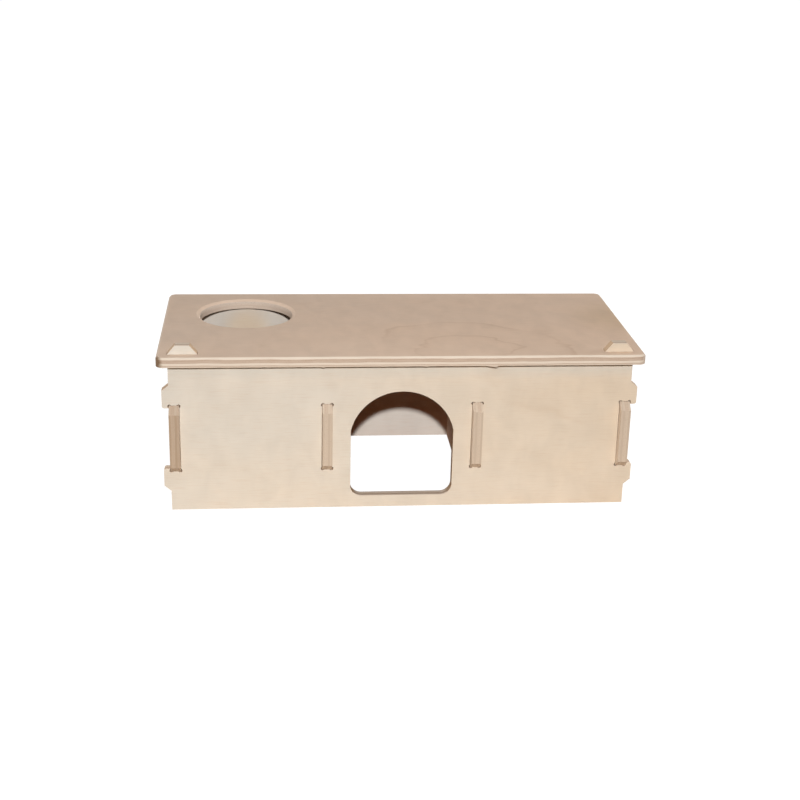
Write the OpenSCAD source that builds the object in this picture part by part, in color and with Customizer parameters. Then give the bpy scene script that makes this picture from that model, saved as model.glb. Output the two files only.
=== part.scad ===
// Wooden hamster house: a bottomless plywood box of plug-together boards with three chambers
// and a lift-off lid. X runs along the front from left to right, Y runs from front to back,
// Z is up. The origin is on the floor, under the middle of the house.

/* [Boards] */
// Thickness of every board
board_t = 6.5; // [5:0.1:8]
// Height of the walls, which is where the underside of the lid rests
wall_h = 101; // [94:1:150]
// Width of the front and back panels
house_w = 300; // [260:1:420]
// Depth over the outer faces of the front and back panels
house_d = 131; // [115:1:200]

/* [Wall joints] */
// Height of the middle of the tenons and ears above the floor
joint_z = 50; // [46:0.5:54]
// Height of the tenons at both ends of each wall
tenon_h = 45.4; // [30:0.2:56]
// Distance that a tenon stands out of the panel that it passes through
tenon_out = 5.4; // [3:0.1:6.5]
// Height of the ears on each side edge of a panel, over both of them
ear_h = 73; // [66:0.5:85]
// Distance that the ears stand out past the side edge of a panel
ear_out = 4.4; // [3:0.1:6]
// Height of the gap between the two ears of a pair
ear_gap = 42; // [30:0.5:46]
// Rounding of the ears' corners at that gap
ear_round = 1.5; // [0.5:0.1:2]
// Slope of the ends of tenons, ears and lid tabs, in degrees from the board's edge
end_slope = 50; // [40:1:60]
// Play round a tenon in its mortise
tenon_play = 0.15; // [0.05:0.01:0.3]
// Radius of the cutter's relief holes in the corners of a mortise
relief_r = 1.3; // [0.8:0.1:1.6]
// Distance of a relief hole's middle from both sides of its corner
relief_inset = 0.6; // [0.3:0.1:0.8]

/* [Doorway] */
// Width of the doorway
door_w = 67.2; // [50:0.2:74]
// Height of the doorway's sill above the floor
door_sill = 8; // [5:0.1:12]
// Height of the doorway's crown above the floor
door_top = 81.1; // [72:0.1:88]
// How much larger the arch's radius is than half of the doorway's width
door_arch_extra = 0.8; // [0:0.1:5]
// Radius of the doorway's lower corners
door_corner_r = 7.5; // [2:0.1:10]

/* [Passages in the dividers] */
// Width of the passage through a divider
passage_w = 60; // [45:0.5:70]
// Height of the passage's sill above the floor
passage_sill = 8; // [5:0.1:12]
// Height of the passage's crown above the floor
passage_top = 78; // [70:0.5:86]
// Radius of the passage's lower corners
passage_corner_r = 7.5; // [2:0.1:10]

/* [Lid] */
// Distance that the lid reaches past the front panel
lid_front = 8; // [5:0.1:15]
// Distance that the lid reaches past the back panel
lid_back = 4; // [2:0.1:12]
// Distance that the lid reaches past the side edges of the panels
lid_ends = 7; // [5:0.1:15]
// Radius of the lid's corners, seen from above
lid_corner_r = 5; // [3:0.1:10]
// Bevel along the lid's upper edge, and how deep the one round its hole goes
lid_bevel = 1.3; // [0.5:0.1:2.2]
// Diameter of the round hole in the lid
hole_d = 63.4; // [50:0.2:75]
// Width of the bevel round the top of the hole
hole_flare = 2.3; // [0.5:0.1:3]
// Distance of the hole's middle from the lid's left edge
hole_from_left = 55.3; // [50:0.1:60]
// Distance of the hole's middle from the lid's back edge
hole_from_back = 47.6; // [44:0.1:55]

/* [Lid tabs] */
// Width of a tab of the front panel where it leaves the lid
tab_w = 18.8; // [16:0.1:30]
// Distance that a tab stands out above the lid
tab_out = 5.6; // [3:0.1:6]
// Play round a tab in its slot in the lid
tab_play = 0.3; // [0.2:0.05:0.6]

/* [Hidden] */
$fn = 96;

sides = [-1, 1];
cut = 1;                                        // how far a cut reaches past the face that it leaves
chamber_w = (house_w - 4 * board_t) / 3;        // three chambers of one width
divider_x = (chamber_w + board_t) / 2;          // from the middle of the house to the middle of a divider
side_x = (house_w - board_t) / 2;               // from there to the middle of a side wall
panel_y = (house_d - board_t) / 2;              // from there to the middle of the front or back panel
mortise_t = board_t + 2 * tenon_play;
mortise_h = tenon_h + 2 * tenon_play;
tab_x = (house_w - tab_w) / 2;
lid_w = house_w + 2 * lid_ends;
lid_d = house_d + lid_front + lid_back;
lid_y = (lid_back - lid_front) / 2;             // from the middle of the house to the middle of the lid
hole_x = hole_from_left - lid_w / 2;
hole_y = house_d / 2 + lid_back - hole_from_back;

// Stands a flat outline up as a board that faces front, with its middle plane at y
module crossways(y) {
    translate([0, y + board_t / 2, 0]) rotate([90, 0, 0]) linear_extrude(board_t) children();
}

// Stands a flat outline up as a board that faces sideways, with its middle plane at x
module lengthways(x) {
    translate([x - board_t / 2, 0, 0]) rotate([90, 0, 90]) linear_extrude(board_t) children();
}

// A tongue with sloped ends: "root" deep up to the face that it leaves, then "out" beyond it
module tongue(width, root, out) {
    tip = width / 2 - out / tan(end_slope);
    polygon([
        [-width / 2, -root], [width / 2, -root], [width / 2, 0],
        [tip, out], [-tip, out], [-width / 2, 0]
    ]);
}

// An arched opening with a flat sill and rounded lower corners
module archway(w, sill, top, arch_r, corner_r) {
    arch_z = top - arch_r;
    intersection() {
        translate([0, arch_z]) circle(arch_r);
        translate([-w / 2, arch_z]) square([w, arch_r]);
    }
    translate([-w / 2, sill + corner_r]) square([w, arch_z - sill - corner_r]);
    translate([corner_r - w / 2, sill]) square([w - 2 * corner_r, 2 * corner_r]);
    for (side = sides) translate([side * (w / 2 - corner_r), sill + corner_r]) circle(corner_r);
}

// The hole for one tenon, with a relief hole in each corner
module mortise() {
    square([mortise_t, mortise_h], center = true);
    for (side = sides, end = sides)
        translate([side * (mortise_t / 2 - relief_inset), end * (mortise_h / 2 - relief_inset)]) circle(relief_r);
}

// What rounds off a square corner that points to the lower left
module corner_trim(r) {
    difference() {
        translate([-cut, -cut]) square(r + cut);
        translate([r, r]) circle(r);
    }
}

// The gap between two ears, drawn towards +x from the side edge of a panel
module between_ears() {
    translate([0, -ear_gap / 2]) square([ear_out + cut, ear_gap]);
    for (end = sides) mirror([0, end < 0 ? 1 : 0]) translate([ear_out, ear_gap / 2]) mirror([1, 0])
        corner_trim(ear_round);
}

// The outline that both panels share; what is given with it is added to the outline
module panel_outline() {
    difference() {
        union() {
            translate([-house_w / 2, 0]) square([house_w, wall_h]);
            for (side = sides) translate([side * house_w / 2, joint_z]) rotate(-90 * side)
                tongue(ear_h, board_t, ear_out);
            children();
        }
        for (x = [-side_x, -divider_x, divider_x, side_x]) translate([x, joint_z]) mortise();
        for (side = sides) translate([side * house_w / 2, joint_z]) mirror([side < 0 ? 1 : 0, 0]) between_ears();
    }
}

// The outline of a side wall or divider, with a tenon at each end
module wall_outline() {
    translate([board_t - house_d / 2, 0]) square([house_d - 2 * board_t, wall_h]);
    for (side = sides) translate([side * house_d / 2, joint_z]) rotate(-90 * side)
        tongue(tenon_h, 2 * board_t, tenon_out);
}

module divider_outline() {
    difference() {
        wall_outline();
        archway(passage_w, passage_sill, passage_top, passage_w / 2, passage_corner_r);
    }
}

module front_panel() {
    color("#e2d0b8") crossways(-panel_y) difference() {
        panel_outline()
            for (side = sides) translate([side * tab_x, wall_h + board_t]) tongue(tab_w, 2 * board_t, tab_out);
        archway(door_w, door_sill, door_top, door_w / 2 + door_arch_extra, door_corner_r);
    }
}

module back_panel() {
    color("#dcc8ae") crossways(panel_y) panel_outline();
}

module left_wall() {
    color("#d8c3a5") lengthways(-side_x) wall_outline();
}

module right_wall() {
    color("#d8c3a5") lengthways(side_x) wall_outline();
}

module left_divider() {
    color("#d2bb9b") lengthways(-divider_x) divider_outline();
}

module right_divider() {
    color("#d2bb9b") lengthways(divider_x) divider_outline();
}

// The cross-section of the lid over a given width, bevelled above
module lid_section(w) {
    polygon([
        [-w / 2, 0], [w / 2, 0], [w / 2, board_t - lid_bevel], [w / 2 - lid_bevel, board_t],
        [-w / 2 + lid_bevel, board_t], [-w / 2, board_t - lid_bevel]
    ]);
}

// One rounded corner of the lid, as a disc with the same bevel
module lid_corner() {
    rotate_extrude() intersection() {
        lid_section(2 * lid_corner_r);
        square([lid_corner_r, board_t]);
    }
}

module lid_slab() {
    rotate([90, 0, 90]) translate([0, 0, lid_corner_r - lid_w / 2])
        linear_extrude(lid_w - 2 * lid_corner_r) lid_section(lid_d);
    rotate([90, 0, 0]) translate([0, 0, lid_corner_r - lid_d / 2])
        linear_extrude(lid_d - 2 * lid_corner_r) lid_section(lid_w);
    for (side = sides, end = sides)
        translate([side * (lid_w / 2 - lid_corner_r), end * (lid_d / 2 - lid_corner_r), 0]) lid_corner();
}

// The cutter for the round hole, which flares at the top of the lid
module hole_cutter() {
    r = hole_d / 2;
    rise = lid_bevel + cut;
    translate([0, 0, -cut]) cylinder(h = board_t + 2 * cut, r = r);
    translate([0, 0, board_t - lid_bevel]) cylinder(h = rise, r1 = r, r2 = r + rise * hole_flare / lid_bevel);
}

module lid() {
    slot = [tab_w + 2 * tab_play, board_t + 2 * tab_play, board_t + 2 * cut];
    color("#d9c4aa") translate([0, 0, wall_h]) difference() {
        translate([0, lid_y, 0]) lid_slab();
        translate([hole_x, hole_y, 0]) hole_cutter();
        for (side = sides) translate([side * tab_x, -panel_y, board_t / 2]) cube(slot, center = true);
    }
}

front_panel();
back_panel();
left_wall();
right_wall();
left_divider();
right_divider();
lid();
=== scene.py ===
import math

import bpy
from mathutils import Matrix, Vector


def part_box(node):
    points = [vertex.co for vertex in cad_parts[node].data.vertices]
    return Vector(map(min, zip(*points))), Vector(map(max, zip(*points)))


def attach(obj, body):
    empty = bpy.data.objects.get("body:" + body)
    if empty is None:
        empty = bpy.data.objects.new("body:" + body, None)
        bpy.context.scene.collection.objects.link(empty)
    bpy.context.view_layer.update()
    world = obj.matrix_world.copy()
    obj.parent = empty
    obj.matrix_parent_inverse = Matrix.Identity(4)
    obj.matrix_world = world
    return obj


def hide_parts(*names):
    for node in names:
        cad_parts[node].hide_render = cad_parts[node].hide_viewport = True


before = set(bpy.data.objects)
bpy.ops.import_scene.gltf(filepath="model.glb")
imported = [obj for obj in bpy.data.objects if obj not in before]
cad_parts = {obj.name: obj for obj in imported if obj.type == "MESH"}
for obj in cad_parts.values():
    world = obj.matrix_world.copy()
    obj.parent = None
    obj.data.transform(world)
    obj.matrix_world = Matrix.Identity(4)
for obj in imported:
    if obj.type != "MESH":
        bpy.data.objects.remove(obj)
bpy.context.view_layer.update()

scene = bpy.context.scene
mm = 0.001  # metres


# From an sRGB hex code to a linear colour
def hexColour(code):
    parts = [int(code[i:i + 2], 16) / 255 for i in (1, 3, 5)]
    return [c / 12.92 if c <= 0.04045 else ((c + 0.055) / 1.055) ** 2.4 for c in parts] + [1.0]


def addNode(tree, kind, values=None, **settings):
    node = tree.nodes.new(kind)
    for key, value in settings.items():
        setattr(node, key, value)
    for key, value in (values or {}).items():
        if isinstance(value, bpy.types.NodeSocket):
            tree.links.new(value, node.inputs[key])
        else:
            node.inputs[key].default_value = value
    return node


def setStops(ramp, stops):
    band = ramp.color_ramp
    while len(band.elements) < len(stops):
        band.elements.new(0.5)
    for element, (place, tone) in zip(band.elements, stops):
        element.position = place
        element.color = hexColour(tone) if isinstance(tone, str) else (tone, tone, tone, 1.0)


def newMaterial(name):
    material = bpy.data.materials.new(name)
    material.use_nodes = True
    material.node_tree.nodes.clear()
    return material, material.node_tree


def onlySelect(obj):
    bpy.ops.object.select_all(action="DESELECT")
    obj.select_set(True)
    bpy.context.view_layer.objects.active = obj


# Camera
cameraSettings = dict(
    place=(-84.05 * mm, -919.97 * mm, 398.24 * mm),
    yaw=6.143,       # degrees to the right of straight ahead
    pitch=-19.652,   # degrees below level
    roll=1.624,
    lens=63.741,
    sensor=36,       # mm wide
    shiftX=-0.01988,
    shiftY=-0.02935,
)


def makeCamera(settings):
    yaw = math.radians(settings["yaw"])
    pitch = math.radians(settings["pitch"])
    roll = math.radians(settings["roll"])
    ahead = Vector((math.sin(yaw) * math.cos(pitch), math.cos(yaw) * math.cos(pitch), math.sin(pitch)))
    level = Vector((math.cos(yaw), -math.sin(yaw), 0))
    upright = level.cross(ahead)
    side = level * math.cos(roll) + upright * math.sin(roll)
    top = upright * math.cos(roll) - level * math.sin(roll)
    data = bpy.data.cameras.new("camera")
    data.sensor_width = settings["sensor"]
    data.lens = settings["lens"]
    data.shift_x = settings["shiftX"]
    data.shift_y = settings["shiftY"]
    data.clip_start = 0.01
    data.clip_end = 50
    camera = bpy.data.objects.new("camera", data)
    scene.collection.objects.link(camera)
    turn = Matrix((side, top, -ahead)).transposed()
    camera.matrix_world = Matrix.Translation(settings["place"]) @ turn.to_4x4()
    scene.camera = camera
    return side, top, ahead


cameraSide, cameraTop, cameraAhead = makeCamera(cameraSettings)
scene.view_settings.view_transform = "Standard"
print("camera set")


# Birch plywood
# Every board carries two attributes: "sheet" is its place on the sheet of plywood it was cut from
# (x along the face grain, y across it, z through the thickness, in metres), and "endGrain" is 1
# where its edge cuts the face plies across the grain and 0 where it runs along them.
veneerSettings = dict(
    light="#dfd8cc",       # pale sapwood
    warm="#dfcdb6",        # the creamier side of the sheet
    grey="#d2cdc2",        # painted shade: cool grey where a board's upper edge lies under the lid
    greyBand=(900, 901, 902, 903),  # mm across the grain; out of reach unless a board asks for it
    paintedShadeWaver=6,           # mm by which the band's lower edge strays
    paintedShadeShare=0.7,
    patch="#dfc6a6",       # a warmer patch of the board's own tone; on the back board a painted pool of light
    patchPlace=(0, 0, 900),   # mm on the sheet; out of reach too
    patchReach=(8, 30),    # mm over which it fades
    patchShare=0.45,
    cloudSize=(200, 71.43),   # mm along and across the grain, of the broad change of tone
    driftSize=(62.5, 33.33),  # mm, of the stray bends in the figure
    wander=(60, 35),       # mm that they bend it by
    gloss=0.2,
    roughness=(0.52, 0.7),    # between the pores, and in them
    line="#c9a98a",        # latewood line of a growth ring
    fleck="#c8a88a",       # short pith flecks
    ringSpacing=17.0,      # mm between ring lines, across the grain
    ringStretch=6.5,       # how many times longer than wide an oval is
    ringReach=2.6,         # rings out to where they fade
    lineStrength=0.16,
    lineBreaks=45.45,      # mm between the places where a line grows faint
    poreWidth=0.75,        # mm; real pores are 0.1 mm, drawn coarser so that they show
    poreLength=14.0,       # mm
    poreShare=0.22,
    curlWidth=13.0,        # mm between the faint ripples across the grain
    curlShare=0.035,       # how much lighter or darker they make it
    relief=0.25,           # mm, of pores and ripples
    reliefStrength=0.22,
)


def veneerMaterial(name, figurePlace, tilt=0.0, **own):
    settings = dict(veneerSettings, **own)
    material, tree = newMaterial(name)
    sheet = addNode(tree, "ShaderNodeAttribute", attribute_name="sheet")
    # ovals of a rotary-cut veneer, round figurePlace
    centred = addNode(tree, "ShaderNodeMapping", {
        "Vector": sheet.outputs["Vector"],
        "Location": (-figurePlace[0] * mm, -figurePlace[1] * mm, 0),
    }, vector_type="POINT")
    drift = addNode(tree, "ShaderNodeTexNoise", {
        "Vector": addNode(tree, "ShaderNodeVectorMath", {
            0: sheet.outputs["Vector"], 1: [1000 / size for size in settings["driftSize"]] + [0],
        }, operation="MULTIPLY").outputs[0],
        "Scale": 1.0, "Detail": 3.0, "Roughness": 0.6,
    })
    wander = addNode(tree, "ShaderNodeVectorMath", {
        0: addNode(tree, "ShaderNodeVectorMath", {
            0: drift.outputs["Color"], 1: (0.5, 0.5, 0.5),
        }, operation="SUBTRACT").outputs[0],
        1: [part * mm for part in settings["wander"]] + [0],
    }, operation="MULTIPLY")
    bent = addNode(tree, "ShaderNodeVectorMath", {
        0: centred.outputs[0], 1: wander.outputs[0],
    }, operation="ADD")
    spacing = settings["ringSpacing"] * mm
    oval = addNode(tree, "ShaderNodeVectorMath", {
        0: bent.outputs[0], 1: (1 / (spacing * settings["ringStretch"]), 1 / spacing, 0),
    }, operation="MULTIPLY")
    reach = addNode(tree, "ShaderNodeVectorMath", {0: oval.outputs[0]}, operation="LENGTH")
    ring = addNode(tree, "ShaderNodeMath", {0: reach.outputs["Value"]}, operation="FRACT")
    ringLine = addNode(tree, "ShaderNodeValToRGB", {"Fac": ring.outputs[0]})
    setStops(ringLine, ((0.0, 0.6), (0.035, 0.1), (0.5, 0.0), (0.88, 0.25), (0.975, 1.0), (1.0, 0.6)))
    fading = addNode(tree, "ShaderNodeMapRange", {
        "Value": reach.outputs["Value"],
        "To Min": settings["lineStrength"], "To Max": settings["lineStrength"] * 0.2,
        "From Min": settings["ringReach"] - 0.5, "From Max": settings["ringReach"] + 0.5,
    })
    patchy = addNode(tree, "ShaderNodeTexNoise", {
        "Vector": sheet.outputs["Vector"], "Scale": 1000 / settings["lineBreaks"], "Detail": 1.0,
    })
    patchyRamp = addNode(tree, "ShaderNodeMapRange", {
        "Value": patchy.outputs["Fac"], "From Min": 0.35, "From Max": 0.65, "To Min": 0.15, "To Max": 1.0,
    })
    lineAmount = addNode(tree, "ShaderNodeMath", {
        0: addNode(tree, "ShaderNodeMath", {
            0: ringLine.outputs["Color"], 1: patchyRamp.outputs[0],
        }, operation="MULTIPLY").outputs[0],
        1: fading.outputs[0],
    }, operation="MULTIPLY")

    # broad change of tone over the sheet
    cloud = addNode(tree, "ShaderNodeTexNoise", {
        "Vector": addNode(tree, "ShaderNodeVectorMath", {
            0: sheet.outputs["Vector"], 1: [1000 / size for size in settings["cloudSize"]] + [0],
        }, operation="MULTIPLY").outputs[0],
        "Scale": 1.0, "Detail": 3.0, "Roughness": 0.55,
    })
    along = addNode(tree, "ShaderNodeSeparateXYZ", {"Vector": sheet.outputs["Vector"]})
    slope = addNode(tree, "ShaderNodeMath", {
        0: along.outputs["X"], 1: tilt, 2: cloud.outputs["Fac"],
    }, operation="MULTIPLY_ADD")
    tone = addNode(tree, "ShaderNodeMapRange", {
        "Value": slope.outputs[0], "From Min": 0.1, "From Max": 0.9,
    })
    base = addNode(tree, "ShaderNodeMix", {
        "Factor": tone.outputs[0], 6: hexColour(settings["light"]), 7: hexColour(settings["warm"]),
    }, data_type="RGBA")
    # painted shade: a cool grey band along a board's upper edge, under the lid
    band = [edge * mm for edge in settings["greyBand"]]
    wavering = addNode(tree, "ShaderNodeMath", {
        0: drift.outputs["Fac"], 1: settings["paintedShadeWaver"] * mm, 2: along.outputs["Y"],
    }, operation="MULTIPLY_ADD")
    rising = addNode(tree, "ShaderNodeMapRange", {
        "Value": wavering.outputs[0], "From Min": band[0], "From Max": band[1],
        "To Max": settings["paintedShadeShare"],
    })
    ending = addNode(tree, "ShaderNodeMapRange", {
        "Value": along.outputs["Y"], "From Min": band[2], "From Max": band[3], "To Min": 1.0, "To Max": 0.0,
    })
    paintedShadeMix = addNode(tree, "ShaderNodeMix", {
        "Factor": addNode(tree, "ShaderNodeMath", {
            0: rising.outputs[0], 1: ending.outputs[0],
        }, operation="MULTIPLY").outputs[0],
        6: base.outputs[2], 7: hexColour(settings["grey"]),
    }, data_type="RGBA")
    # a warmer patch: the lid's own browner tone, and on the back board a painted pool of light behind the
    # lid's hole
    fromPatch = addNode(tree, "ShaderNodeVectorMath", {
        0: sheet.outputs["Vector"], 1: [part * mm for part in settings["patchPlace"]],
    }, operation="DISTANCE")
    patchAmount = addNode(tree, "ShaderNodeMapRange", {
        "Value": fromPatch.outputs["Value"], "To Min": settings["patchShare"], "To Max": 0.0,
        "From Min": settings["patchReach"][0] * mm, "From Max": settings["patchReach"][1] * mm,
    }, interpolation_type="SMOOTHSTEP")
    patched = addNode(tree, "ShaderNodeMix", {
        "Factor": patchAmount.outputs[0], 6: paintedShadeMix.outputs[2], 7: hexColour(settings["patch"]),
    }, data_type="RGBA")
    ringed = addNode(tree, "ShaderNodeMix", {
        "Factor": lineAmount.outputs[0], 6: patched.outputs[2], 7: hexColour(settings["line"]),
    }, data_type="RGBA")

    # fine pores along the grain
    pores = addNode(tree, "ShaderNodeTexNoise", {
        "Vector": addNode(tree, "ShaderNodeVectorMath", {
            0: sheet.outputs["Vector"],
            1: (1000 / settings["poreLength"], 1000 / settings["poreWidth"], 0),
        }, operation="MULTIPLY").outputs[0],
        "Scale": 1.0, "Detail": 2.0, "Roughness": 0.6,
    })
    poreAmount = addNode(tree, "ShaderNodeMapRange", {
        "Value": pores.outputs["Fac"], "From Min": 0.5, "From Max": 0.8, "To Max": settings["poreShare"],
    })
    pored = addNode(tree, "ShaderNodeMix", {
        "Factor": poreAmount.outputs[0], 6: ringed.outputs[2], 7: hexColour(settings["fleck"]),
    }, data_type="RGBA")

    # the silky ripple that birch shows across the grain
    curl = addNode(tree, "ShaderNodeTexNoise", {
        "Vector": addNode(tree, "ShaderNodeVectorMath", {
            0: sheet.outputs["Vector"],
            1: (1000 / settings["curlWidth"], 1000 / (settings["curlWidth"] * 1.6), 0),
        }, operation="MULTIPLY").outputs[0],
        "Scale": 1.0, "Detail": 2.0, "Distortion": 0.4,
    })
    curlLight = addNode(tree, "ShaderNodeMapRange", {
        "Value": curl.outputs["Fac"], "From Min": 0.3, "From Max": 0.7,
        "To Min": 1 - settings["curlShare"], "To Max": 1 + settings["curlShare"],
    })
    colour = addNode(tree, "ShaderNodeVectorMath", {
        0: pored.outputs[2], "Scale": curlLight.outputs[0],
    }, operation="SCALE")

    rough = addNode(tree, "ShaderNodeMapRange", {
        "Value": pores.outputs["Fac"], "From Min": 0.3, "From Max": 0.8,
        "To Min": settings["roughness"][0], "To Max": settings["roughness"][1],
    })
    bump = addNode(tree, "ShaderNodeBump", {
        "Height": addNode(tree, "ShaderNodeMath", {
            0: pores.outputs["Fac"], 1: 0.6, 2: curl.outputs["Fac"],
        }, operation="MULTIPLY_ADD").outputs[0],
        "Strength": settings["reliefStrength"], "Distance": settings["relief"] * mm,
    })
    surface = addNode(tree, "ShaderNodeBsdfPrincipled", {
        "Base Color": colour.outputs[0], "Roughness": rough.outputs[0],
        "Normal": bump.outputs[0], "IOR": 1.5, "Specular IOR Level": settings["gloss"],
    })
    addNode(tree, "ShaderNodeOutputMaterial", {"Surface": surface.outputs[0]})
    return material


plySettings = dict(
    thickness=6.5,
    along="#e6d7c5",       # a ply cut along its grain
    across="#bfa692",      # a ply cut across its grain
    end="#c2a68a",         # face plies where the board's end is cut across them
    endCore="#c9ad90",     # core plies there
    glue="#a98a72",        # torn pores, dark with glue and dust
    waverSize=(26.32, 26.32, 16.67),  # mm, of the bends in the plies
    waver=1.1,             # mm that they stray by
    streakLength=9.0,      # mm
    streakWidth=0.5,       # mm
    streakShare=0.14,
    pitSize=0.7143,        # mm
    pitShare=0.45,
    relief=0.3,            # mm, of pits and streaks
    reliefStrength=0.35,
    roughness=0.72,
    gloss=0.25,
    stain="#6e5030",       # a dark brown patch
    stainPlace=(0, 0, 900),  # mm on the sheet; out of reach unless a board asks for it
    brownPatchReach=6.5,        # mm
    brownPatchWaver=4,          # mm by which its edge strays
)


def plyEdgeMaterial(name, **own):
    settings = dict(plySettings, **own)
    material, tree = newMaterial(name)
    sheet = addNode(tree, "ShaderNodeAttribute", attribute_name="sheet")
    turned = addNode(tree, "ShaderNodeAttribute", attribute_name="endGrain")
    split = addNode(tree, "ShaderNodeSeparateXYZ", {"Vector": sheet.outputs["Vector"]})
    # layers waver a little along the board
    waver = addNode(tree, "ShaderNodeTexNoise", {
        "Vector": addNode(tree, "ShaderNodeVectorMath", {
            0: sheet.outputs["Vector"], 1: [1000 / size for size in settings["waverSize"]],
        }, operation="MULTIPLY").outputs[0],
        "Scale": 1.0, "Detail": 2.0,
    })
    thickness = settings["thickness"] * mm
    strays = settings["waver"] * mm
    depth = addNode(tree, "ShaderNodeMath", {
        0: addNode(tree, "ShaderNodeMath", {
            0: waver.outputs["Fac"], 1: strays, 2: split.outputs["Z"],
        }, operation="MULTIPLY_ADD").outputs[0],
        1: 1 / thickness, 2: 0.5 - strays / 2 / thickness,
    }, operation="MULTIPLY_ADD")
    # five plies, from the inner face at 0 to the outer face at 1; 1 is a ply that crosses the face grain
    layers = addNode(tree, "ShaderNodeValToRGB", {"Fac": depth.outputs[0]})
    setStops(layers, (
        (0.0, 0.25), (0.12, 0.3), (0.15, 0.85), (0.2, 0.75), (0.235, 0.05), (0.43, 0.0),
        (0.47, 0.9), (0.6, 0.7), (0.66, 0.85), (0.79, 0.95), (0.825, 0.05), (1.0, 0.0),
    ))
    ending = addNode(tree, "ShaderNodeMapRange", {
        "Value": turned.outputs["Fac"], "From Min": 0.2, "From Max": 0.55,
    })
    streaks = addNode(tree, "ShaderNodeTexNoise", {
        "Vector": addNode(tree, "ShaderNodeVectorMath", {
            0: sheet.outputs["Vector"],
            1: [1000 / settings[size] for size in ("streakLength", "streakLength", "streakWidth")],
        }, operation="MULTIPLY").outputs[0],
        "Scale": 1.0, "Detail": 3.0, "Roughness": 0.6,
    })
    streaked = addNode(tree, "ShaderNodeMapRange", {
        "Value": streaks.outputs["Fac"], "From Min": 0.3, "From Max": 0.7,
        "To Min": -settings["streakShare"], "To Max": settings["streakShare"],
    })
    amount = addNode(tree, "ShaderNodeMath", {
        0: layers.outputs["Color"], 1: streaked.outputs[0],
    }, operation="ADD", use_clamp=True)
    side = addNode(tree, "ShaderNodeMix", {
        "Factor": amount.outputs[0], 6: hexColour(settings["along"]), 7: hexColour(settings["across"]),
    }, data_type="RGBA")
    endSide = addNode(tree, "ShaderNodeMix", {
        "Factor": amount.outputs[0], 6: hexColour(settings["end"]), 7: hexColour(settings["endCore"]),
    }, data_type="RGBA")
    base = addNode(tree, "ShaderNodeMix", {
        "Factor": ending.outputs[0], 6: side.outputs[2], 7: endSide.outputs[2],
    }, data_type="RGBA")
    # saw-tooth marks and torn pores in the cross plies
    pits = addNode(tree, "ShaderNodeTexNoise", {
        "Vector": sheet.outputs["Vector"], "Scale": 1000 / settings["pitSize"],
        "Detail": 2.0, "Roughness": 0.7,
    })
    pitAmount = addNode(tree, "ShaderNodeMapRange", {
        "Value": pits.outputs["Fac"], "From Min": 0.52, "From Max": 0.72, "To Max": settings["pitShare"],
    })
    pitted = addNode(tree, "ShaderNodeMix", {
        "Factor": addNode(tree, "ShaderNodeMath", {
            0: pitAmount.outputs[0], 1: layers.outputs["Color"],
        }, operation="MULTIPLY").outputs[0],
        6: base.outputs[2], 7: hexColour(settings["glue"]),
    }, data_type="RGBA")
    # a darker brown patch round a given place on the sheet
    away = addNode(tree, "ShaderNodeVectorMath", {
        0: sheet.outputs["Vector"], 1: [part * mm for part in settings["stainPlace"]],
    }, operation="DISTANCE")
    brownPatchEdge = addNode(tree, "ShaderNodeMath", {
        0: streaks.outputs["Fac"], 1: settings["brownPatchWaver"] * mm, 2: away.outputs["Value"],
    }, operation="MULTIPLY_ADD")
    brownPatchAmount = addNode(tree, "ShaderNodeMapRange", {
        "Value": brownPatchEdge.outputs[0], "To Min": 0.85, "To Max": 0.0,
        "From Min": (settings["brownPatchReach"] - 1) * mm, "From Max": (settings["brownPatchReach"] + 1.5) * mm,
    })
    brownPatched = addNode(tree, "ShaderNodeMix", {
        "Factor": brownPatchAmount.outputs[0], 6: pitted.outputs[2], 7: hexColour(settings["stain"]),
    }, data_type="RGBA")
    bump = addNode(tree, "ShaderNodeBump", {
        "Height": addNode(tree, "ShaderNodeMath", {
            0: pits.outputs["Fac"], 1: layers.outputs["Color"], 2: streaks.outputs["Fac"],
        }, operation="MULTIPLY_ADD").outputs[0],
        "Strength": settings["reliefStrength"], "Distance": settings["relief"] * mm,
    })
    surface = addNode(tree, "ShaderNodeBsdfPrincipled", {
        "Base Color": brownPatched.outputs[2], "Roughness": settings["roughness"],
        "Normal": bump.outputs[0], "IOR": 1.5, "Specular IOR Level": settings["gloss"],
    })
    addNode(tree, "ShaderNodeOutputMaterial", {"Surface": surface.outputs[0]})
    return material


# Rotary-cut birch, sanded and left bare: pale and matt, with long faint ovals and fine short pores.
# The front is the palest, creamier to the right, and greyed along its upper edge by painted shade under the
# lid
frontVeneer = veneerMaterial("birchVeneerSanded", (150, 95), tilt=2.2, greyBand=(92, 99, 102, 103),
                             ringSpacing=33, ringStretch=3, ringReach=1.8)
# The back is cooler, with painted shade over its upper part and a painted pool of light behind the lid's
# hole
backVeneer = veneerMaterial("birchVeneerBack", (190, 470), light="#e1ddd6", warm="#e0d7ca",
                            grey="#ccc3b8", greyBand=(470, 505, 521, 522),
                            patch="#e2c39a", patchPlace=(28, 503, -18), patchReach=(15, 26), gloss=0.1)
# The lid is from a browner sheet, with rounder and darker ovals, and goes browner at its right end
lidVeneer = veneerMaterial("birchVeneerLid", (43, -55), tilt=2.0, light="#dcc5b1", warm="#e5c9b1", gloss=0.1,
                           patch="#c8ab87", patchPlace=(162, 10, 3), patchReach=(8, 52),
                           line="#b58f70", ringSpacing=26, ringStretch=1.3, ringReach=2.3, lineStrength=0.32)
# The walls and dividers are plain
wallVeneer = veneerMaterial("birchVeneerWall", (-60, 20), light="#e1d6c9", warm="#e1cdb6", gloss=0.1)
# Sawn edge of birch plywood: light and brown stripes, dull and a little torn, with the ends of the
# face grain plain and tan. These ends are paler on the lid and the walls, and darkest on the left wall
panelEdge = plyEdgeMaterial("birchPlyEdge")
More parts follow.
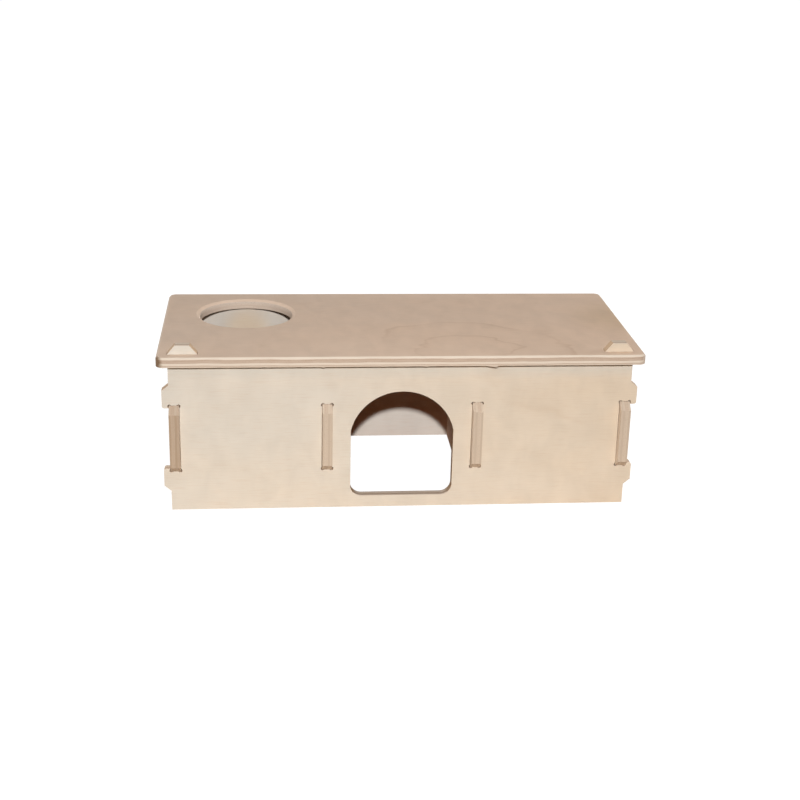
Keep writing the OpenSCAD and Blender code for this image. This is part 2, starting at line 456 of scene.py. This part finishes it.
# the lid's edge is darker brown at its front left corner
lidEdge = plyEdgeMaterial("birchPlyEdgeLid", end="#d0bcaa", endCore="#d6c5b6", stainPlace=(-158, -72, 0))
wallEdge = plyEdgeMaterial("birchPlyEdgeWall", end="#c8b5a1", endCore="#d4c2ae")
darkEdge = plyEdgeMaterial("birchPlyEdgeDark", end="#b29b84", endCore="#c2ad97")
print("materials made")


# Boards. along, across and through are a board's directions: the face grain, across it, and its
# thickness towards the better face; start is where it lies on the sheet of plywood, in mm. The lid
# has its own flat, so that the bevel round its hole shows the face ply, and smooth is a round place
# (x, y and reach, in mm) where the cutter left the plies faint.
boards = {
    "front_board": dict(node="front_panel", body="house", slot="birch_front", face=frontVeneer,
                        edge=panelEdge, along=(1, 0, 0), across=(0, 0, 1), through=(0, -1, 0), start=(0, 0)),
    "back_board": dict(node="back_panel", body="house", slot="birch_front", face=backVeneer, edge=panelEdge,
                       along=(1, 0, 0), across=(0, 0, 1), through=(0, 1, 0), start=(130, 420)),
    "left_end_board": dict(node="left_wall", body="house", slot="birch_wall", face=wallVeneer, edge=darkEdge,
                           along=(0, 1, 0), across=(0, 0, 1), through=(-1, 0, 0), start=(510, 110)),
    "right_end_board": dict(node="right_wall", body="house", slot="birch_wall", face=wallVeneer,
                            edge=wallEdge, along=(0, 1, 0), across=(0, 0, 1), through=(1, 0, 0),
                            start=(-470, 330)),
    "left_divider_board": dict(node="left_divider", body="house", slot="birch_wall", face=wallVeneer,
                               edge=wallEdge, along=(0, 1, 0), across=(0, 0, 1), through=(-1, 0, 0),
                               start=(260, -280)),
    "right_divider_board": dict(node="right_divider", body="house", slot="birch_wall", face=wallVeneer,
                                edge=wallEdge, along=(0, 1, 0), across=(0, 0, 1), through=(1, 0, 0),
                                start=(-240, -390)),
    "lid_board": dict(node="lid", body="lid", slot="birch_lid", face=lidVeneer, edge=lidEdge,
                      along=(1, 0, 0), across=(0, 1, 0), through=(0, 0, 1), start=(0, 0),
                      flat=0.85, smooth=(-101.7, 21.9, 36)),
}
boardSettings = dict(
    thickness=6.5,
    middle=62.25,     # mm from the middle of the house to the middle of the front or back board
    ease=0.15,        # mm that sanding took off the edges
    finest=0.2,       # mm; shorter steps of the routed outline are merged
    flat=0.97,        # how squarely a surface faces out where it shows the face ply
    smoothAngle=20,   # degrees; flatter edges than this are shaded smooth
)
# Splinters that the saw left along the lid's lower front edge, in mm
splinterSettings = dict(
    edge=-73.5,       # how far forward the lid's front edge lies
    under=101.0,      # the height of its underside
    depth=1.2,        # how far a splinter reaches in under the lid
    # where each starts, where its tip is, where it ends, and how far it hangs down
    places=((-53.2, -51.9, -50.6, 0.6), (12.5, 13.7, 14.9, 0.4), (52.3, 58.8, 60.1, 1.1)),
)


def nodeCopy(node, name):
    piece = bpy.data.objects.new(name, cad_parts[node].data.copy())
    scene.collection.objects.link(piece)
    piece.data.materials.clear()
    onlySelect(piece)
    bpy.ops.object.mode_set(mode="EDIT")
    bpy.ops.mesh.select_mode(type="FACE")
    bpy.ops.mesh.select_all(action="SELECT")
    bpy.ops.mesh.remove_doubles(threshold=0.002 * mm)
    bpy.ops.mesh.customdata_custom_splitnormals_clear()
    return piece


def pickFaces(piece, test):
    bpy.ops.object.mode_set(mode="OBJECT")
    piece.data.vertices.foreach_set("select", [False] * len(piece.data.vertices))
    piece.data.edges.foreach_set("select", [False] * len(piece.data.edges))
    for face in piece.data.polygons:
        face.select = test(face)
    bpy.ops.object.mode_set(mode="EDIT")


# An upright board: its outer face is eased all round, drawn back to half the thickness, and mirrored
def uprightBoard(board, name):
    through = Vector(board["through"])
    ease = boardSettings["ease"] * mm
    half = boardSettings["thickness"] / 2 * mm
    low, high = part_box(board["node"])
    middle = (low + high) / 2
    if abs(through.y) > 0.5:
        middle.y = through.y * boardSettings["middle"] * mm
    piece = nodeCopy(board["node"], name)
    pickFaces(piece, lambda face: face.normal.dot(through) < 0.99)
    bpy.ops.mesh.delete(type="FACE")
    bpy.ops.mesh.select_all(action="SELECT")
    bpy.ops.mesh.remove_doubles(threshold=boardSettings["finest"] * mm)
    bpy.ops.transform.translate(value=through * -ease)
    # a rounded edge in two steps
    less, more = 0.29 * ease, 0.71 * ease
    bpy.ops.mesh.inset(thickness=less, depth=more, use_even_offset=False)
    bpy.ops.mesh.inset(thickness=more, depth=less, use_even_offset=False)
    bpy.ops.mesh.select_mode(type="EDGE")
    bpy.ops.mesh.select_all(action="DESELECT")
    bpy.ops.mesh.select_non_manifold(extend=False, use_wire=False, use_boundary=True, use_multi_face=False,
                                     use_non_contiguous=False, use_verts=False)
    bpy.ops.mesh.extrude_edges_move(TRANSFORM_OT_translate={"value": through * (ease - half)})
    bpy.ops.mesh.select_all(action="SELECT")
    bpy.ops.mesh.duplicate()
    flip = [-1 if abs(part) > 0.5 else 1 for part in through]
    bpy.ops.transform.resize(value=flip, center_override=middle)
    bpy.ops.mesh.flip_normals()
    bpy.ops.mesh.select_all(action="SELECT")
    bpy.ops.mesh.remove_doubles(threshold=0.01 * mm)
    bpy.ops.mesh.normals_make_consistent(inside=False)
    bpy.ops.object.mode_set(mode="OBJECT")
    bpy.ops.object.shade_smooth_by_angle(angle=math.radians(boardSettings["smoothAngle"]))
    return piece


# Cuts the lid's mesh across at each splinter, and draws the lower edge down at its tip
def addSplinters(piece, settings):
    front = settings["edge"] * mm
    bpy.ops.object.mode_set(mode="EDIT")
    cuts = [((0, front + settings["depth"] * mm, 0), (0, 1, 0))]
    for start, tip, end, drop in settings["places"]:
        cuts += [((x * mm, 0, 0), (1, 0, 0)) for x in (start, tip, end)]
    for place, normal in cuts:
        bpy.ops.mesh.select_all(action="SELECT")
        bpy.ops.mesh.bisect(plane_co=place, plane_no=normal)
    bpy.ops.mesh.select_mode(type="VERT")
    for start, tip, end, drop in settings["places"]:
        bpy.ops.mesh.select_all(action="DESELECT")
        bpy.ops.object.mode_set(mode="OBJECT")
        for vertex in piece.data.vertices:
            low = vertex.co.z < (settings["under"] + 0.4) * mm
            outer = vertex.co.y < front + 0.5 * mm
            vertex.select = low and outer and abs(vertex.co.x - tip * mm) < 0.02 * mm
        bpy.ops.object.mode_set(mode="EDIT")
        bpy.ops.transform.translate(value=(0, 0, -drop * mm))
    bpy.ops.object.mode_set(mode="OBJECT")


def lidBoard(board, name):
    piece = nodeCopy(board["node"], name)
    bpy.ops.mesh.dissolve_limited(angle_limit=math.radians(0.6))
    bpy.ops.object.mode_set(mode="OBJECT")
    ease = piece.modifiers.new("ease", "BEVEL")
    ease.width = boardSettings["ease"] * mm
    ease.segments = 2
    ease.limit_method = "ANGLE"
    ease.angle_limit = math.radians(32)
    ease.use_clamp_overlap = False
    ease.miter_outer = "MITER_SHARP"
    bpy.ops.object.modifier_apply(modifier="ease")
    addSplinters(piece, splinterSettings)
    bpy.ops.object.shade_smooth_by_angle(angle=math.radians(boardSettings["smoothAngle"]))
    return piece


# Gives a board its place on the sheet of plywood, and its two finishes
def markSheet(piece, board):
    low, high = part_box(board["node"])
    middle = (low + high) / 2
    along, across, through = (Vector(board[key]) for key in ("along", "across", "through"))
    if abs(through.y) > 0.5:
        middle.y = through.y * boardSettings["middle"] * mm
    mesh = piece.data
    sheet = mesh.attributes.new("sheet", "FLOAT_VECTOR", "POINT")
    for vertex, value in zip(mesh.vertices, sheet.data):
        value.vector = (
            vertex.co.dot(along) + board["start"][0] * mm,
            vertex.co.dot(across) + board["start"][1] * mm,
            (vertex.co - middle).dot(through),
        )
    turned = mesh.attributes.new("endGrain", "FLOAT", "CORNER")
    for corner, value in zip(mesh.corner_normals, turned.data):
        value.value = min(1.0, corner.vector.dot(along) ** 2)
    if "smooth" in board:
        x, y, reach = (part * mm for part in board["smooth"])
        for loop, value in zip(mesh.loops, turned.data):
            place = mesh.vertices[loop.vertex_index].co
            if math.hypot(place.x - x, place.y - y) < reach:
                value.value = 1.0
    mesh.materials.append(board["face"])
    mesh.materials.append(board["edge"])
    flat = board.get("flat", boardSettings["flat"])
    for polygon in mesh.polygons:
        polygon.material_index = 0 if abs(polygon.normal.dot(through)) > flat else 1


for name, board in boards.items():
    makeBoard = lidBoard if board["body"] == "lid" else uprightBoard
    piece = makeBoard(board, name)
    markSheet(piece, board)
    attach(piece, board["body"])
    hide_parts(board["node"])
    print("board", name, len(piece.data.polygons), "faces")


# Light and floor
lightSettings = dict(
    flashRise=87,          # mm above the lens, square to the view
    flashRight=13,         # mm
    flashSize=24,          # mm
    flashTarget=(0, -60, 60),  # mm
    flashWatts=8.4,
    worldFill=0.1,
    fillColour="#fff1e2",
)
# Big soft lamps, in metres: one high above, and low ones that only light the back and the sides
softLamps = {
    "topLamp": dict(place=(0.0, 0.1, 1.45), target=(0, 0, 0), size=(1.3, 1.0), watts=3.7),
    "backLamp": dict(place=(0.3, 1.5, 0.16), target=(0, 0.06, 0.05), size=(1.3, 0.3), watts=16),
    "leftLamp": dict(place=(-1.6, 0.45, 0.16), target=(-0.15, 0, 0.05), size=(0.9, 0.3), watts=12),
    "rightLamp": dict(place=(1.6, 0.45, 0.16), target=(0.15, 0, 0.05), size=(0.9, 0.3), watts=12),
}


def makeLamp(name, place, target, size, watts):
    data = bpy.data.lights.new(name, "AREA")
    data.shape = "RECTANGLE"
    data.size = size[0]
    data.size_y = size[1]
    data.energy = watts
    lamp = bpy.data.objects.new(name, data)
    scene.collection.objects.link(lamp)
    lamp.location = place
    lamp.rotation_euler = (Vector(target) - Vector(place)).to_track_quat("-Z", "Y").to_euler()
    lamp.visible_camera = False
    lamp.visible_glossy = False
    return lamp


flashPlace = (Vector(cameraSettings["place"]) + cameraTop * lightSettings["flashRise"] * mm
              + cameraSide * lightSettings["flashRight"] * mm)
flash = makeLamp("flash", flashPlace, Vector(lightSettings["flashTarget"]) * mm,
                 (lightSettings["flashSize"] * mm,) * 2, lightSettings["flashWatts"])
# its light falls off more gently than a close lamp's does, as from a stronger one further away
flash.data.use_nodes = True
flash.data.node_tree.nodes.clear()
falloff = addNode(flash.data.node_tree, "ShaderNodeLightFalloff", {"Strength": 1.0})
beam = addNode(flash.data.node_tree, "ShaderNodeEmission", {"Strength": falloff.outputs["Linear"]})
addNode(flash.data.node_tree, "ShaderNodeOutputLight", {"Surface": beam.outputs[0]})
for name, lamp in softLamps.items():
    makeLamp(name, **lamp)


# 1 for rays that show the background: straight from the camera, or by way of gloss or glass
def showsBackground(tree, mirrorShare=1.0):
    path = addNode(tree, "ShaderNodeLightPath")
    mirrored = addNode(tree, "ShaderNodeMath", {
        0: path.outputs["Is Glossy Ray"], 1: path.outputs["Is Transmission Ray"],
    }, operation="MAXIMUM")
    seen = addNode(tree, "ShaderNodeMath", {
        0: mirrored.outputs[0], 1: mirrorShare, 2: path.outputs["Is Camera Ray"],
    }, operation="MULTIPLY_ADD", use_clamp=True)
    return seen.outputs[0]


world = bpy.data.worlds.new("studio")
world.use_nodes = True
scene.world = world
sky = world.node_tree
sky.nodes.clear()
fill = addNode(sky, "ShaderNodeBackground", {
    "Color": hexColour(lightSettings["fillColour"]), "Strength": lightSettings["worldFill"],
})
seen = addNode(sky, "ShaderNodeBackground", {"Color": (1, 1, 1, 1), "Strength": 1.0})
both = addNode(sky, "ShaderNodeMixShader", {
    0: showsBackground(sky), 1: fill.outputs[0], 2: seen.outputs[0],
})
addNode(sky, "ShaderNodeOutputWorld", {"Surface": both.outputs[0]})

# The floor is drawn nearly white with a faint shadow, and lights the boards as a pale wooden one does; under
# the house it is a painted shade, dark brown, that deepens and browns the shade inside
floorSettings = dict(
    size=60.0,             # metres
    drawn=0.95,            # near the house, where its shadow has to show
    drawnFar=1.0,          # and where it meets the background
    fadeReach=(400.0, 1500.0),  # mm from the middle, over which it goes from one to the other
    shaded=0.22,           # what the lamps add to it, and the shadow takes away
    near="#d4bfa8",        # what it sends back to the boards from close by
    far="#63503f",         # and from further off
    nearReach=(60.0, 130.0),  # mm from the boards, over which it goes from one to the other
    inside="#8c4612",      # and from under the house, where little light comes in: a painted shade, dark brown
    reach=(149.0, 64.0),   # mm from the middle to where the inside ends
)


def makeFloor(settings):
    bpy.ops.object.select_all(action="DESELECT")
    bpy.ops.mesh.primitive_plane_add(size=settings["size"], location=(0, 0, 0))
    floor = bpy.context.object
    floor.name = "floor"
    material, tree = newMaterial("paleFloor")
    place = addNode(tree, "ShaderNodeTexCoord")
    middle = addNode(tree, "ShaderNodeVectorMath", {0: place.outputs["Object"]}, operation="LENGTH")
    strength = addNode(tree, "ShaderNodeMapRange", {
        "Value": middle.outputs["Value"], "To Min": settings["drawn"], "To Max": settings["drawnFar"],
        "From Min": settings["fadeReach"][0] * mm, "From Max": settings["fadeReach"][1] * mm,
    })
    glow = addNode(tree, "ShaderNodeEmission", {"Color": (1, 1, 1, 1), "Strength": strength.outputs[0]})
    shade = addNode(tree, "ShaderNodeBsdfDiffuse", {"Color": (settings["shaded"],) * 3 + (1,)})
    drawn = addNode(tree, "ShaderNodeAddShader", {0: glow.outputs[0], 1: shade.outputs[0]})
    # 1 under the house, and 0 round it
    half = addNode(tree, "ShaderNodeVectorMath", {0: place.outputs["Object"]}, operation="ABSOLUTE")
    apart = addNode(tree, "ShaderNodeSeparateXYZ", {"Vector": half.outputs[0]})
    under = [addNode(tree, "ShaderNodeMath", {0: apart.outputs[axis], 1: reach * mm}, operation="LESS_THAN")
             for axis, reach in zip("XY", settings["reach"])]
    covered = addNode(tree, "ShaderNodeMath", {
        0: under[0].outputs[0], 1: under[1].outputs[0],
    }, operation="MULTIPLY")
    past = [addNode(tree, "ShaderNodeMath", {0: apart.outputs[axis], 1: reach * mm}, operation="SUBTRACT")
            for axis, reach in zip("XY", settings["reach"])]
    away = addNode(tree, "ShaderNodeMath", {
        0: past[0].outputs[0], 1: past[1].outputs[0],
    }, operation="MAXIMUM")
    faded = addNode(tree, "ShaderNodeMapRange", {
        "Value": away.outputs[0],
        "From Min": settings["nearReach"][0] * mm, "From Max": settings["nearReach"][1] * mm,
    })
    around = addNode(tree, "ShaderNodeMix", {
        "Factor": faded.outputs[0], 6: hexColour(settings["near"]), 7: hexColour(settings["far"]),
    }, data_type="RGBA")
    # painted shade: under the house the floor sends back dark brown
    tone = addNode(tree, "ShaderNodeMix", {
        "Factor": covered.outputs[0], 6: around.outputs[2], 7: hexColour(settings["inside"]),
    }, data_type="RGBA")
    plain = addNode(tree, "ShaderNodeBsdfDiffuse", {"Color": tone.outputs[2]})
    clear = addNode(tree, "ShaderNodeMath", {0: 1.0, 1: covered.outputs[0]}, operation="SUBTRACT")
    mix = addNode(tree, "ShaderNodeMixShader", {
        0: showsBackground(tree, clear.outputs[0]), 1: plain.outputs[0], 2: drawn.outputs[0],
    })
    addNode(tree, "ShaderNodeOutputMaterial", {"Surface": mix.outputs[0]})
    floor.data.materials.append(material)


makeFloor(floorSettings)
print("stage lit")
